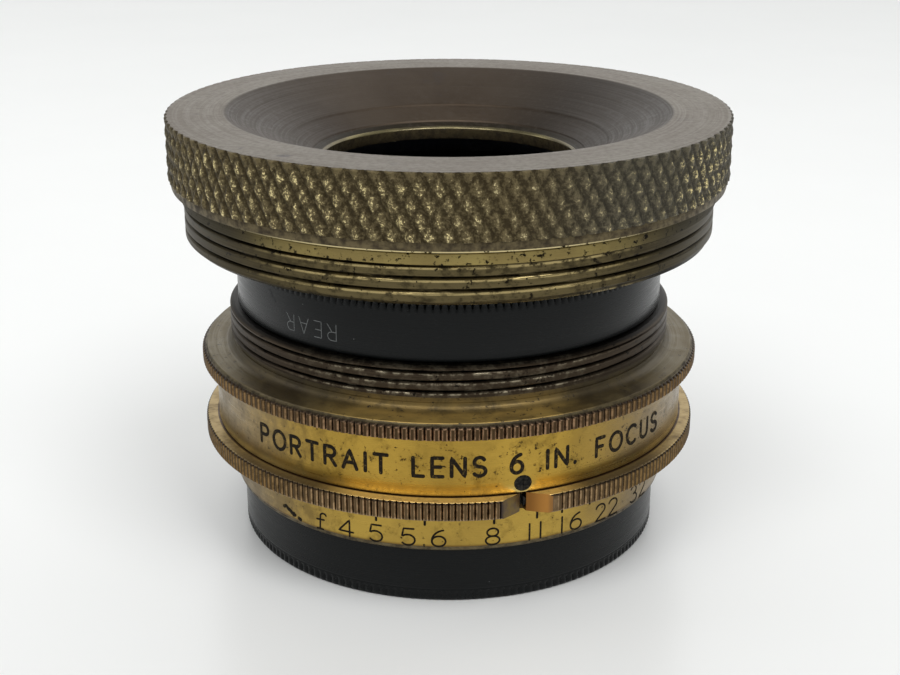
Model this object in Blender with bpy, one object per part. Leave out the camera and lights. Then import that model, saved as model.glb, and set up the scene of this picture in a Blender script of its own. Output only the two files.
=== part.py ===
"""Brass barrel portrait lens, modelled as the separate pieces it is built from.

Frame: the origin is on the optical axis, at the rim that the lens stands on, and +Z runs up the axis
from the front cell to the back cell. Azimuths are in degrees from -Y towards +X. Outlines are written
in millimetres as (radius, height) points and become metres when they are turned or extruded.
"""
import math

import bmesh
import bpy
from mathutils import Matrix, Vector

MM = 0.001
FACETS = 48
GLASS_FACETS = 36
SMOOTH_ANGLE = math.radians(30.0)

# Driving sizes, in millimetres.
SEAM = 0.1                      # gap where one piece is seated on the next
FIT = 0.3                       # radial gap of the screwed and slipped-on spigots
CLEAR = 1.0                     # how far a cutter runs past what it cuts

FRONT_CELL_R = 24.15
FRONT_CELL_TOP = 6.2
FRONT_SPIGOT_R = 21.6
FRONT_SPIGOT_TOP = 10.3

SLEEVE_R = 25.05                # the barrel below the iris ring, which carries the scale
SLEEVE_BOTTOM = FRONT_CELL_TOP + SEAM
BARREL_STEP = 13.65             # the iris ring turns just under this step
WALL_R = 26.8
FLANGE_R = 28.31
FLANGE_BOTTOM = 20.31
FLANGE_FACE = 22.1
NECK_R = 24.95                  # crests of the 24 per inch mounting thread
NECK_TOP = 26.95
NECK_THREAD_BOTTOM = 23.6

CHAMBER_R = 21.9
CHAMBER_TOP = 17.6
SHOULDER_R = 17.0
SHOULDER_TOP = 20.6
BACK_BORE_R = 22.7

BACK_CELL_R = 24.0
BACK_CELL_BOTTOM = NECK_TOP + SEAM
BACK_CELL_TOP = 38.0
BACK_SPIGOT_R = BACK_BORE_R - FIT
BACK_SPIGOT_BOTTOM = 21.8

RING_R = 28.27                  # knurled rim of the iris control ring
RING_BORE_R = SLEEVE_R + 0.15
RING_BOTTOM = 11.44
RING_TOP = 13.52
INDEX_AZIMUTH = 16.1            # the V notch, resting between f/8 and f/11
INDEX_HALF_WIDTH = 5.7          # degrees at the rim
INDEX_DEPTH = 1.45

SCALE_OPEN = -17.6              # azimuth of the f/4.5 mark
SCALE_CLOSED = 52.8             # azimuth of the f/32 mark
DRIVE_HEIGHT = 12.5
DRIVE_SCREW_R = 0.55
DRIVE_SCREW_INNER = 20.8
CAM_RING_BORE_R = 16.2
CAM_RING_R = 21.65
CAM_RING_HALF_HEIGHT = 0.7
CAM_SLOT_INNER = 17.0
CAM_SLOT_OUTER = 19.4
CAM_SLOT_WIDTH = 0.9

BLADES = 12
BLADE_INNER_R = 15.0            # radius of the full opening
BLADE_OUTER_R = 19.6
BLADE_SPAN = 116.0              # degrees of crescent
BLADE_THICK = 0.12
BLADE_PITCH = 0.2               # height from one blade to the next
BLADE_FLOOR = 13.4
PIVOT_R = 20.4                  # circle of the blade pivots
PIVOT_PIN_R = 0.4
PIVOT_HOLE_R = 0.65
BLADE_RATIO = 0.525             # blade turn for each degree of ring turn

CUP_R = CHAMBER_R - 0.15
CUP_WALL = 0.5
CUP_FLOOR = BLADE_FLOOR + BLADES * BLADE_PITCH + 0.15
CUP_TOP = CHAMBER_TOP - SEAM
IRIS_RETAINER_BORE_R = 18.4
IRIS_RETAINER_TOP = 11.4

STOP_SCREW_HEIGHT = 14.6
STOP_SCREW_AZIMUTH = 16.3
STOP_SCREW_R = 0.8

ADAPTER_R = 31.0
ADAPTER_BOTTOM = 34.8
ADAPTER_TOP = 48.16
ADAPTER_BORE_R = BACK_CELL_R + 0.4
ADAPTER_SEAT = BACK_CELL_TOP + 0.3
ADAPTER_THREAD_R = 29.4         # crests of the 20 per inch thread
SIGHT_HOLE_R = 14.4

POCKET_R = 20.5                 # glass pockets of both cells
GLASS_R = 20.3
LIP_R = 19.3                    # the lip that each outer glass seats on
FRONT_SEAT = 2.0
BACK_SEAT = 36.0
SPACER_BORE_R = 19.2
RETAINER_BORE_R = 18.6
RETAINER_THICK = 0.8
STACK_GAP = 0.2                 # between the pieces stacked in a cell


def clear_scene():
    for old in list(bpy.data.objects):
        bpy.data.objects.remove(old)


def finish_material(name, colour, roughness, metallic, alpha=1.0):
    material = bpy.data.materials.new(name)
    material.use_nodes = True
    shader = material.node_tree.nodes["Principled BSDF"]
    shader.inputs["Base Color"].default_value = (*colour, 1.0)
    shader.inputs["Roughness"].default_value = roughness
    shader.inputs["Metallic"].default_value = metallic
    shader.inputs["Alpha"].default_value = alpha
    return material


def add_object(name, bm, material):
    """Make a smooth-shaded object from a bmesh whose faces close round one body."""
    bmesh.ops.recalc_face_normals(bm, faces=bm.faces)
    mesh = bpy.data.meshes.new(name)
    bm.to_mesh(mesh)
    bm.free()
    mesh.shade_smooth()
    mesh.set_sharp_from_angle(angle=SMOOTH_ANGLE)
    if material is not None:
        mesh.materials.append(material)
    piece = bpy.data.objects.new(name, mesh)
    bpy.context.collection.objects.link(piece)
    return piece


def turned(name, outline, material, facets=FACETS, closed=True):
    """Turn (radius, height) points round the axis. An open outline starts and ends on the axis."""
    bm = bmesh.new()
    verts = [bm.verts.new((radius * MM, 0.0, height * MM)) for radius, height in outline]
    edges = [bm.edges.new(pair) for pair in zip(verts, verts[1:])]
    if closed:
        edges.append(bm.edges.new((verts[-1], verts[0])))
    bmesh.ops.spin(
        bm, geom=verts + edges, cent=(0, 0, 0), axis=(0, 0, 1), angle=math.tau, steps=facets,
        use_merge=True,
    )
    bmesh.ops.remove_doubles(bm, verts=bm.verts, dist=1e-7)
    return add_object(name, bm, material)


def ring_outline(inner, outer, bottom, top):
    return [(inner, top), (outer, top), (outer, bottom), (inner, bottom)]


def polar(radius, degrees, centre=(0.0, 0.0)):
    """A point in the XY plane, counted anticlockwise from +X."""
    angle = math.radians(degrees)
    return centre[0] + radius * math.cos(angle), centre[1] + radius * math.sin(angle)


def arc(radius, start, end, steps, centre=(0.0, 0.0)):
    return [polar(radius, start + (end - start) * i / steps, centre) for i in range(steps + 1)]


def math_angle(azimuth):
    """Turn an azimuth, from -Y towards +X, into an angle from +X."""
    return azimuth - 90.0


def prism_mesh(outline, bottom, top):
    """Extrude a closed XY outline between two heights."""
    bm = bmesh.new()
    face = bm.faces.new([bm.verts.new((x * MM, y * MM, bottom * MM)) for x, y in outline])
    grown = bmesh.ops.extrude_face_region(bm, geom=[face])["geom"]
    raised = [item for item in grown if isinstance(item, bmesh.types.BMVert)]
    bmesh.ops.translate(bm, verts=raised, vec=(0, 0, (top - bottom) * MM))
    return bm


def prism(name, outline, bottom, top, material=None):
    return add_object(name, prism_mesh(outline, bottom, top), material)


def rod(name, radius, start, end, material=None, sides=16):
    """A round rod between two points in millimetres."""
    start, end = Vector(start), Vector(end)
    run = end - start
    turn = run.to_track_quat("Z", "Y").to_matrix().to_4x4()
    bm = bmesh.new()
    bmesh.ops.create_cone(
        bm, cap_ends=True, segments=sides, radius1=radius * MM, radius2=radius * MM,
        depth=run.length * MM, matrix=Matrix.Translation((start + end) / 2 * MM) @ turn,
    )
    return add_object(name, bm, material)


def radial_rod(name, radius, inner, outer, azimuth, height, material=None, sides=16):
    start, end = (polar(reach, math_angle(azimuth)) for reach in (inner, outer))
    return rod(name, radius, (*start, height), (*end, height), material, sides)


def slot_outline(inner, outer, width, azimuth):
    """A rectangle that runs outward from the axis at an azimuth."""
    along = Vector(polar(1.0, math_angle(azimuth)))
    across = Vector((-along.y, along.x)) * width / 2
    near, far = along * inner, along * outer
    return [near - across, far - across, far + across, near + across]


def combine(piece, tool, operation):
    """Add a Boolean with a tool object that is only a guide."""
    modifier = piece.modifiers.new(tool.name, "BOOLEAN")
    modifier.operation = operation
    modifier.solver = "EXACT"
    modifier.object = tool
    tool.hide_render = True
    tool.display_type = "WIRE"


def prism_group(name, outlines, bottom, top):
    """Several separate prisms in one guide object."""
    bm = bmesh.new()
    for outline in outlines:
        part = prism_mesh(outline, bottom, top)
        mesh = bpy.data.meshes.new(name)
        part.to_mesh(mesh)
        part.free()
        bm.from_mesh(mesh)
    return add_object(name, bm, None)


def slot_group(name, azimuths, inner, outer, width, bottom, top):
    outlines = [slot_outline(inner, outer, width, azimuth) for azimuth in azimuths]
    return prism_group(name, outlines, bottom, top)


def dome(edge_radius, edge_height, sag, steps=4):
    """Points from the rim of a lens surface in to the axis; a positive sag bulges upward."""
    curve_radius = (edge_radius ** 2 + sag ** 2) / (2 * abs(sag))
    rim_rise = math.sqrt(curve_radius ** 2 - edge_radius ** 2)
    points = []
    for i in range(steps + 1):
        radius = edge_radius * (steps - i) / steps
        rise = math.sqrt(curve_radius ** 2 - radius ** 2) - rim_rise
        points.append((radius, edge_height + math.copysign(rise, sag)))
    return points


def glass_element(name, span, sags, material):
    """A lens element. The span and the sags are of its bottom and top; a positive sag bulges upward."""
    (bottom, top), (bottom_sag, top_sag) = span, sags
    seat = 1.2                  # flat rim that the cell holds
    upper = dome(GLASS_R - seat, top, top_sag)
    lower = dome(GLASS_R - seat, bottom, bottom_sag)
    outline = upper[::-1] + [(GLASS_R, top), (GLASS_R, bottom)] + lower
    return turned(name, outline, material, GLASS_FACETS, closed=False)


def spanner_ring(name, inner, outer, bottom, top, material):
    """A threaded retaining ring with two notches for a spanner."""
    depth, width = 0.9, 1.4
    piece = turned(name, ring_outline(inner, outer, bottom, top), material)
    notches = slot_group(
        name + "_notches", (0.0, 180.0), inner - CLEAR, inner + depth, width, bottom - CLEAR, top + CLEAR
    )
    combine(piece, notches, "DIFFERENCE")
    return piece


def stack(seat, direction, thicknesses):
    """Bottom and top of each piece laid one after another on a seat, upward (1) or downward (-1)."""
    spans, far = [], seat
    for thickness in thicknesses:
        near = far + direction * STACK_GAP
        far = near + direction * thickness
        spans.append((min(near, far), max(near, far)))
    return spans


def axis_empty(name, location=(0.0, 0.0, 0.0)):
    empty = bpy.data.objects.new(name, None)
    empty.location = Vector(location) * MM
    bpy.context.collection.objects.link(empty)
    return empty


def build_barrel(brass):
    """The one-piece barrel: neck, flange, wall and scale sleeve, bored for both cells and the iris."""
    piece = turned("barrel_body", [
        (BACK_BORE_R, NECK_TOP), (NECK_R - 0.35, NECK_TOP), (NECK_R, NECK_TOP - 0.35),
        (NECK_R, NECK_THREAD_BOTTOM), (NECK_R - 0.55, NECK_THREAD_BOTTOM - 0.4),
        (NECK_R - 0.25, FLANGE_FACE + 0.4), (NECK_R + 0.35, FLANGE_FACE), (FLANGE_R - 0.41, FLANGE_FACE),
        (FLANGE_R, FLANGE_FACE - 0.55), (FLANGE_R, FLANGE_BOTTOM), (WALL_R, FLANGE_BOTTOM),
        (WALL_R, BARREL_STEP), (SLEEVE_R, BARREL_STEP), (SLEEVE_R, SLEEVE_BOTTOM + 0.6),
        (SLEEVE_R - 0.35, SLEEVE_BOTTOM), (CHAMBER_R, SLEEVE_BOTTOM),
        (CHAMBER_R, CHAMBER_TOP), (SHOULDER_R, CHAMBER_TOP), (SHOULDER_R, SHOULDER_TOP),
        (BACK_BORE_R, SHOULDER_TOP),
    ], brass)
    margin = 4.0                # degrees past each end of the scale
    start, end = math_angle(SCALE_OPEN - margin), math_angle(SCALE_CLOSED + margin)
    sector = arc(CHAMBER_R - CLEAR, start, end, 14) + arc(SLEEVE_R + CLEAR, end, start, 14)
    half_height = DRIVE_SCREW_R + 0.2
    slot = prism("drive_slot", sector, DRIVE_HEIGHT - half_height, DRIVE_HEIGHT + half_height)
    hole = radial_rod(
        "stop_screw_hole", STOP_SCREW_R + SEAM, CHAMBER_R - CLEAR, WALL_R + CLEAR, STOP_SCREW_AZIMUTH,
        STOP_SCREW_HEIGHT,
    )
    combine(piece, slot, "DIFFERENCE")
    combine(piece, hole, "DIFFERENCE")
    return piece


def slotted_screw(name, radius, inner, outer, azimuth, height, material):
    """A headless radial screw with a driver slot in its outer end."""
    depth, width = 0.5, 0.35
    piece = radial_rod(name, radius, inner, outer, azimuth, height, material)
    outline = slot_outline(outer - depth, outer + CLEAR, width, azimuth)
    slot = prism(name + "_slot", outline, height - radius - CLEAR, height + radius + CLEAR)
    combine(piece, slot, "DIFFERENCE")
    return piece


def build_iris_cup(metal):
    """The cup that holds the blade pivots: a flat plate over the blades, with a skirt round them."""
    skirt_r = CUP_R - CUP_WALL
    piece = turned("iris_cup", [
        (CAM_RING_BORE_R, CUP_TOP), (CUP_R, CUP_TOP), (CUP_R, BLADE_FLOOR), (skirt_r, BLADE_FLOOR),
        (skirt_r, CUP_FLOOR), (CAM_RING_BORE_R, CUP_FLOOR),
    ], metal)
    pivots = [polar(PIVOT_R, blade_angle(index)) for index in range(BLADES)]
    circles = [arc(PIVOT_HOLE_R, 0.0, 315.0, 7, pivot) for pivot in pivots]
    combine(piece, prism_group("pivot_holes", circles, CUP_FLOOR - CLEAR, CUP_TOP + CLEAR), "DIFFERENCE")
    return piece


def blade_angle(index):
    """Angle from +X of a blade's pivot, kept off the facet edges of the turned pieces."""
    return 4.0 + index * 360.0 / BLADES


def blade_outline():
    """A crescent that hugs the full opening, in millimetres from its pivot, which lies towards +X."""
    ear = 0.6
    outer = arc(BLADE_OUTER_R, BLADE_SPAN - 3.0, 4.0, 14)
    pivot_ear = arc(ear, 80.0, -80.0, 4, centre=(PIVOT_R, 0.0))
    heel = [(BLADE_OUTER_R - 0.6, -0.8)]
    inner = arc(BLADE_INNER_R, -2.0, BLADE_SPAN, 14)
    return [(x - PIVOT_R, y) for x, y in outer + pivot_ear + heel + inner]


def build_blade(index, steel):
    """One iris blade on its own level, with its pivot pin standing up into the cup."""
    number = f"{index + 1:02d}"
    floor = BLADE_FLOOR + index * BLADE_PITCH + 0.02
    around = blade_angle(index)
    pivot = polar(PIVOT_R, around)
    piece = prism(f"iris_blade_{number}", blade_outline(), 0.0, BLADE_THICK, steel)
    pin_top = CUP_TOP - 0.2 - floor
    pin = rod(f"blade_pin_{number}", PIVOT_PIN_R, (0, 0, BLADE_THICK / 2), (0, 0, pin_top), sides=8)
    combine(piece, pin, "UNION")
    rest_turn = BLADE_RATIO * (INDEX_AZIMUTH - SCALE_OPEN)
    pivot_empty = axis_empty(f"blade_pivot_{number}", (*pivot, floor))
    pivot_empty.rotation_euler.z = math.radians(around + rest_turn)
    piece.parent = pivot_empty
    pin.parent = pivot_empty


def build_cam_ring(metal):
    """The ring under the blades, with a radial slot for each blade and a notch for the drive screw."""
    bottom, top = DRIVE_HEIGHT - CAM_RING_HALF_HEIGHT, DRIVE_HEIGHT + CAM_RING_HALF_HEIGHT
    piece = turned("iris_cam_ring", ring_outline(CAM_RING_BORE_R, CAM_RING_R, bottom, top), metal)
    azimuths = [blade_angle(index) for index in range(BLADES)]
    heights = (bottom - CLEAR, top + CLEAR)
    slots = slot_group("cam_slots", azimuths, CAM_SLOT_INNER, CAM_SLOT_OUTER, CAM_SLOT_WIDTH, *heights)
    notch = slot_group(
        "drive_notch", [INDEX_AZIMUTH], DRIVE_SCREW_INNER - 0.4, CAM_RING_R + CLEAR,
        2 * DRIVE_SCREW_R + 0.4, *heights,
    )
    combine(piece, slots, "DIFFERENCE")
    combine(piece, notch, "DIFFERENCE")
    return piece


def build_control_ring(brass):
    """The knurled ring that sets the stop, with its V notch index and the tapped hole behind it."""
    chamfer = 0.2
    piece = turned("iris_control_ring", [
        (RING_BORE_R, RING_TOP), (RING_R - chamfer, RING_TOP), (RING_R, RING_TOP - chamfer),
        (RING_R, RING_BOTTOM + chamfer), (RING_R - chamfer, RING_BOTTOM), (RING_BORE_R, RING_BOTTOM),
    ], brass)
    middle = math_angle(INDEX_AZIMUTH)
    valley = Vector(polar(RING_R - INDEX_DEPTH, middle))
    rims = [Vector(polar(RING_R, middle + side)) for side in (-INDEX_HALF_WIDTH, INDEX_HALF_WIDTH)]
    wedge = [valley] + [valley + (rim - valley) * 1.5 for rim in rims]
    index_cut = prism("index_notch", wedge, RING_BOTTOM - CLEAR, RING_TOP + CLEAR)
    hole = radial_rod(
        "drive_screw_hole", DRIVE_SCREW_R + 0.15, RING_BORE_R - CLEAR, RING_R, INDEX_AZIMUTH, DRIVE_HEIGHT
    )
    combine(piece, index_cut, "DIFFERENCE")
    combine(piece, hole, "DIFFERENCE")
    return piece


def build_optics(prefix, seat, direction, thicknesses, sags, glass, metal):
    """What a cell holds: its outer and inner elements, then its spacer and retaining rings."""
    outer, spacer, inner, retainer = stack(seat, direction, [*thicknesses, RETAINER_THICK])
    outer_sags, inner_sags = sags
    elements = [
        glass_element(f"{prefix}_glass_outer", outer, outer_sags, glass),
        glass_element(f"{prefix}_glass_inner", inner, inner_sags, glass),
    ]
    fittings = [
        turned(f"{prefix}_spacer_ring", ring_outline(SPACER_BORE_R, GLASS_R, *spacer), metal),
        spanner_ring(f"{prefix}_retaining_ring", RETAINER_BORE_R, GLASS_R, *retainer, metal),
    ]
    return elements, fittings


def build_front_cell(black):
    """The front cell's housing, screwed into the barrel from below, with its coned lip undermost."""
    rim_chamfer = 0.3
    return turned("front_cell_housing", [
        (POCKET_R, FRONT_SPIGOT_TOP), (FRONT_SPIGOT_R, FRONT_SPIGOT_TOP), (FRONT_SPIGOT_R, FRONT_CELL_TOP),
        (FRONT_CELL_R, FRONT_CELL_TOP), (FRONT_CELL_R, rim_chamfer), (FRONT_CELL_R - rim_chamfer, 0.0),
        (22.4, 0.0), (21.6, 0.6), (LIP_R, 1.0), (LIP_R, FRONT_SEAT), (POCKET_R, FRONT_SEAT),
    ], black)


def build_back_cell(black):
    """The back cell's housing, the same kind as the front one but taller, with its lip uppermost."""
    rim_chamfer = 0.4
    return turned("back_cell_housing", [
        (LIP_R, BACK_CELL_TOP), (BACK_CELL_R - rim_chamfer, BACK_CELL_TOP),
        (BACK_CELL_R, BACK_CELL_TOP - rim_chamfer), (BACK_CELL_R, BACK_CELL_BOTTOM),
        (BACK_SPIGOT_R, BACK_CELL_BOTTOM), (BACK_SPIGOT_R, BACK_SPIGOT_BOTTOM),
        (POCKET_R, BACK_SPIGOT_BOTTOM), (POCKET_R, BACK_SEAT), (LIP_R, BACK_SEAT),
    ], black)


def build_adapter(brass):
    """The dished ring seated over the back cell: knurled rim, shoulder and outside thread."""
    knurl_bottom, shoulder, band = 41.6, 40.8, 40.1
    band_r = ADAPTER_THREAD_R - 0.1
    return turned("adapter_ring", [
        (ADAPTER_R - 6.44, ADAPTER_TOP), (ADAPTER_R - 0.25, ADAPTER_TOP), (ADAPTER_R, ADAPTER_TOP - 0.26),
        (ADAPTER_R, knurl_bottom), (ADAPTER_R - 0.35, knurl_bottom - 0.2), (ADAPTER_R - 0.35, shoulder),
        (ADAPTER_THREAD_R + 0.5, shoulder), (ADAPTER_THREAD_R + 0.5, band), (band_r, band),
        (band_r, band - 1.0), (ADAPTER_THREAD_R, band - 1.2), (ADAPTER_THREAD_R, ADAPTER_BOTTOM + 0.5),
        (ADAPTER_THREAD_R - 0.5, ADAPTER_BOTTOM), (ADAPTER_BORE_R, ADAPTER_BOTTOM),
        (ADAPTER_BORE_R, ADAPTER_SEAT), (21.0, ADAPTER_SEAT), (14.1, 41.4), (14.1, 42.6),
        (SIGHT_HOLE_R, ADAPTER_TOP - 5.32), (17.67, ADAPTER_TOP - 3.46),
    ], brass)


def parent_all(pieces, empty):
    for piece in pieces:
        piece.parent = empty


def build_lens():
    lacquered = finish_material("lacquered_brass", (0.62, 0.42, 0.13), 0.32, 1.0)
    aged = finish_material("aged_brass", (0.27, 0.21, 0.15), 0.45, 1.0)
    iris_brass = finish_material("iris_brass", (0.45, 0.24, 0.10), 0.4, 1.0)
    black = finish_material("black_enamel", (0.02, 0.023, 0.027), 0.35, 0.0)
    inner_metal = finish_material("blackened_metal", (0.03, 0.03, 0.03), 0.6, 1.0)
    steel = finish_material("blued_steel", (0.06, 0.065, 0.08), 0.35, 1.0)
    screw_steel = finish_material("screw_steel", (0.05, 0.045, 0.04), 0.4, 1.0)
    glass = finish_material("optical_glass", (0.75, 0.78, 0.85), 0.02, 0.0, 0.35)

    build_barrel(lacquered)
    build_iris_cup(inner_metal)
    spanner_ring(
        "iris_retaining_ring", IRIS_RETAINER_BORE_R, CUP_R, IRIS_RETAINER_TOP - RETAINER_THICK,
        IRIS_RETAINER_TOP, inner_metal,
    )
    slotted_screw(
        "stop_screw", STOP_SCREW_R, CHAMBER_R + SEAM, WALL_R - 0.05, STOP_SCREW_AZIMUTH,
        STOP_SCREW_HEIGHT, screw_steel,
    )

    control = [
        build_control_ring(iris_brass),
        slotted_screw(
            "iris_drive_screw", DRIVE_SCREW_R, DRIVE_SCREW_INNER, RING_R - INDEX_DEPTH - SEAM,
            INDEX_AZIMUTH, DRIVE_HEIGHT, screw_steel,
        ),
        build_cam_ring(inner_metal),
    ]
    parent_all(control, axis_empty("iris_control_axis"))
    for index in range(BLADES):
        build_blade(index, steel)

    # Each cell: its housing, the seat and direction of its stack, the thicknesses of its outer glass,
    # spacer and inner glass, and the bottom and top sags of both elements.
    cells = {
        "front": (build_front_cell(black), FRONT_SEAT, 1, (1.6, 2.6, 2.4), ((-1.5, 1.4), (0.8, -0.7))),
        "back": (build_back_cell(black), BACK_SEAT, -1, (1.6, 4.2, 2.4), ((-1.5, 1.5), (0.7, -0.8))),
    }
    for name, (housing, seat, direction, thicknesses, sags) in cells.items():
        elements, fittings = build_optics(name, seat, direction, thicknesses, sags, glass, inner_metal)
        lift = axis_empty(f"{name}_cell_lift")
        turn = axis_empty(f"{name}_cell_turn")
        turn.parent = lift
        parent_all(elements, lift)
        parent_all([housing] + fittings, turn)
    adapter = build_adapter(aged)
    adapter.parent = turn


clear_scene()
build_lens()
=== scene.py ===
"""Looks of the brass barrel portrait lens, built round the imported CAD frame.

Outlines are in millimetres as (radius, height) and become metres in the meshes. Azimuths are in degrees
from -Y, where the camera stands, towards +X.
"""

import math

import bpy
import numpy as np
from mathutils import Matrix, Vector


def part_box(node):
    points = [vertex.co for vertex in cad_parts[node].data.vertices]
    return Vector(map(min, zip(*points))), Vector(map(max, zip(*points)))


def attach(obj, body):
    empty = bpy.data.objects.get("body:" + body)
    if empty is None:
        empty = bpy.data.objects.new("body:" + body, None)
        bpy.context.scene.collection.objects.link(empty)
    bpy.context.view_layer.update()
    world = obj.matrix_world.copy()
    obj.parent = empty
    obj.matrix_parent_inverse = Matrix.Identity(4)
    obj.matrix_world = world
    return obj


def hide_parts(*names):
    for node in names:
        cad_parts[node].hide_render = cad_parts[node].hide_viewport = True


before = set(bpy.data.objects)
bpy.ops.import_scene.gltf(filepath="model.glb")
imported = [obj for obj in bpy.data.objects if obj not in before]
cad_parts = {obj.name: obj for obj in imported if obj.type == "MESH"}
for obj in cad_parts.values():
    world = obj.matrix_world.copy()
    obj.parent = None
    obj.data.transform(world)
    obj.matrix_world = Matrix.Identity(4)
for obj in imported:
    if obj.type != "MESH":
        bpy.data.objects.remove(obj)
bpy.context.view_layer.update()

MM = 0.001
COLUMNS = 288                   # steps round a plain turned piece
SHARP_ANGLE = math.radians(38.0)


def extent(node):
    """Outer radius, bottom and top of a CAD node, in millimetres."""
    low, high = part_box(node)
    return high.x / MM, low.z / MM, high.z / MM


ADAPTER_R, ADAPTER_BOTTOM, ADAPTER_TOP = extent("adapter_ring")
BACK_R, BACK_BOTTOM, BACK_TOP = extent("back_cell_housing")
BARREL_R, BARREL_BOTTOM, BARREL_TOP = extent("barrel_body")
RING_BOTTOM, RING_TOP = extent("iris_control_ring")[1:]
FRONT_R, _, FRONT_TOP = extent("front_cell_housing")

# Sizes that a corner box can't give, in millimetres and degrees.
RING_R = 28.27
SLEEVE_R = 25.05
WALL_R = 26.8
NECK_R = 24.95
CHAMBER_R = 21.9
ADAPTER_THREAD_R = ADAPTER_R - 1.6
HOLE_R, HOLE_LIP_R = 14.1, 14.4         # of the adapter's sight hole
POCKET_R, LIP_R = 20.5, 19.3            # of both cells: round the glass, and in front of it
GLASS_R = 20.3
BARREL_STEP = 13.57                     # where the wall meets the sleeve
SCALE_BOTTOM = 6.9
FLANGE_BOTTOM, FLANGE_FACE = 20.31, 22.1
FILLET_R = 25.9                         # where the fillet under the neck meets the flange's face
FRONT_SHOULDER, BACK_SHOULDER = 6.2, 27.05
DRIVE_HEIGHT = 12.5
INDEX_AZIMUTH = 16.4                    # of the control ring's V notch
NOTCH_HALF, NOTCH_DEPTH = 5.7, 1.45     # half the notch's width in degrees, and its depth
NICK_HALF = 0.75                        # half the width in degrees of the nick at its bottom
KNURL_DEPTH = 0.3                       # of the flange and the control ring
THREAD_PITCH = 25.4 / 24                # barrel neck and cells
ADAPTER_PITCH = 25.4 / 20
NECK_START, ADAPTER_START = -0.4, -0.12     # turns by which each thread is set round


# ---------------------------------------------------------------- turned meshes

def corners(points, width):
    """Round each inner corner of an outline with three points."""
    rounded = [points[0]]
    for before, corner, after in zip(points, points[1:], points[2:]):
        a, c, b = (np.array(point[:2], float) for point in (before, corner, after))
        into, away = a - c, b - c
        reach = min(width, 0.45 * np.linalg.norm(into), 0.45 * np.linalg.norm(away))
        first = c + into / np.linalg.norm(into) * reach
        last = c + away / np.linalg.norm(away) * reach
        middle = (first + last) / 4 + c / 2
        rounded += [tuple(first), tuple(middle), tuple(last)]
    return rounded + [points[-1]]


def straight(start, end, steps, relief):
    """Evenly spaced rows between two outline points, all with one relief."""
    (r0, z0), (r1, z1) = start, end
    parts = [i / steps for i in range(steps + 1)]
    return [(r0 + (r1 - r0) * part, z0 + (z1 - z0) * part, relief) for part in parts]


class Outline(list):
    """The rows of a turned shape, laid down run by run from its last point."""

    def rounded(self, points, width):
        """Carry on through these points, with their corners rounded."""
        start = self[-1:]
        self += corners(start + points, width)[len(start):]

    def even(self, end, steps, relief):
        """Carry on to a point in even steps, all with one relief."""
        self += straight(self[-1][:2], end, steps, relief)[1:]

    def closed(self, points, width):
        """Carry on through these points and back to the first row."""
        self.rounded(points + self[:1], width)
        self.pop()


def thread_limit(crest, depth, pitch, start=0.0, groove=0.36):
    """A right-hand thread: broad, slightly crowned crests with narrow grooves between them."""
    def limit(azimuth, height):
        phase = (height / pitch - azimuth / 360.0 + start) % 1.0
        inside = np.clip(1.0 - np.abs(phase - 0.5) / (groove / 2), 0.0, 1.0)
        shoulder = np.clip(1.0 - np.abs(phase - 0.5) / groove, 0.0, 1.0)
        return crest - depth * (0.88 * inside + 0.12 * shoulder ** 2)
    return limit


def knurl_limit(crest, depth, teeth, power=1.0):
    """Straight knurling: rounded teeth with sharp valleys between them."""
    def limit(azimuth, height):
        tooth = np.abs(np.sin(np.radians(azimuth) * teeth / 2))
        return crest - depth * (1.0 - tooth ** power)
    return limit


def groove_limit(surface, depth, count, run_out, length, half_width=0.28):
    """V grooves cut up from a height, each starting as a point."""
    def limit(azimuth, height):
        offset = np.abs((azimuth * count / 360.0) % 1.0 - 0.5) * math.tau * surface / count
        offset = math.pi * surface / count - offset
        deepest = depth * np.clip((height - run_out) / length, 0.0, 1.0)
        return surface - np.clip(deepest - offset * depth / half_width, 0.0, None)
    return limit


def diamond_limit(crest, depth, around, period, seed):
    """Diamond knurling: two crossing families of grooves, a little uneven as rolled brass is."""
    noise = np.random.default_rng(seed)

    def limit(azimuth, height):
        u = azimuth / 360.0 * around + height / period
        v = azimuth / 360.0 * around - height / period
        groove = np.maximum(np.abs(2 * (u % 1.0) - 1), 0.78 * np.abs(2 * (v % 1.0) - 1))
        cut = np.clip((groove - 0.12) / 0.88, 0.0, 1.0)
        shape = np.broadcast_shapes(azimuth.shape, height.shape)
        return crest - depth * cut - noise.uniform(0.0, 0.05, shape)
    return limit


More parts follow.
